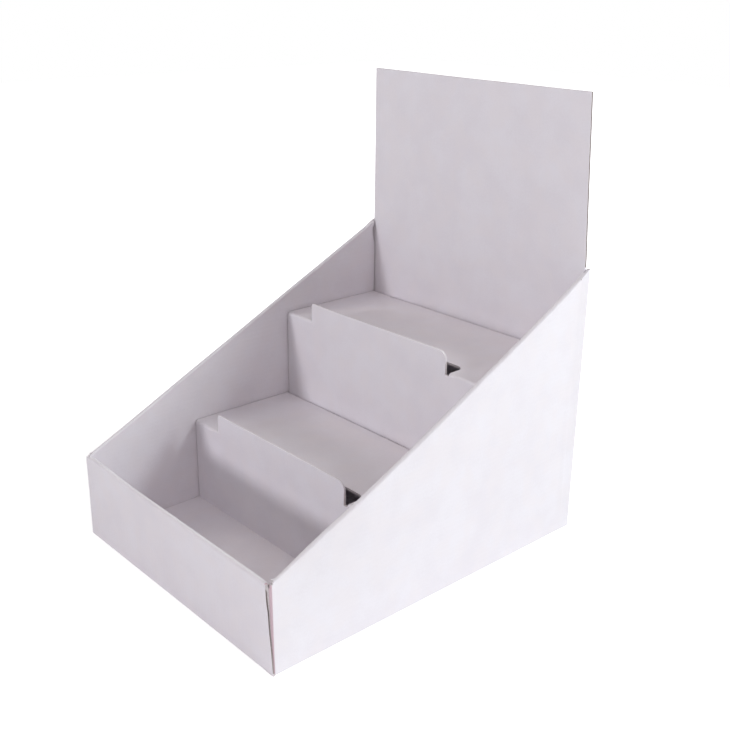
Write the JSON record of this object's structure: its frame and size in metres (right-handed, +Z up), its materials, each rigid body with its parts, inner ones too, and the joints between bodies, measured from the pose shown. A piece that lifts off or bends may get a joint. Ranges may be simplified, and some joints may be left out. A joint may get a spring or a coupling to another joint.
{
  "type": "cardboard display stand",
  "caption": "Tabletop display stand of folded white corrugated board: an open sloping tray with a tall back panel, and stepped shelves with stop lips.",
  "frame": {"origin": "middle of the footprint, on the surface that the stand rests on", "axes": "X to the right of someone facing the stand, Y to the back, Z up"},
  "size_m": [0.2045, 0.251, 0.289],
  "materials": {
    "white_board": "matte white-lined corrugated board"
  },
  "bodies": {
    "root": {"display_tray": "white_board", "front_step": "white_board", "rear_step": "white_board"}
  },
  "joints": []
}
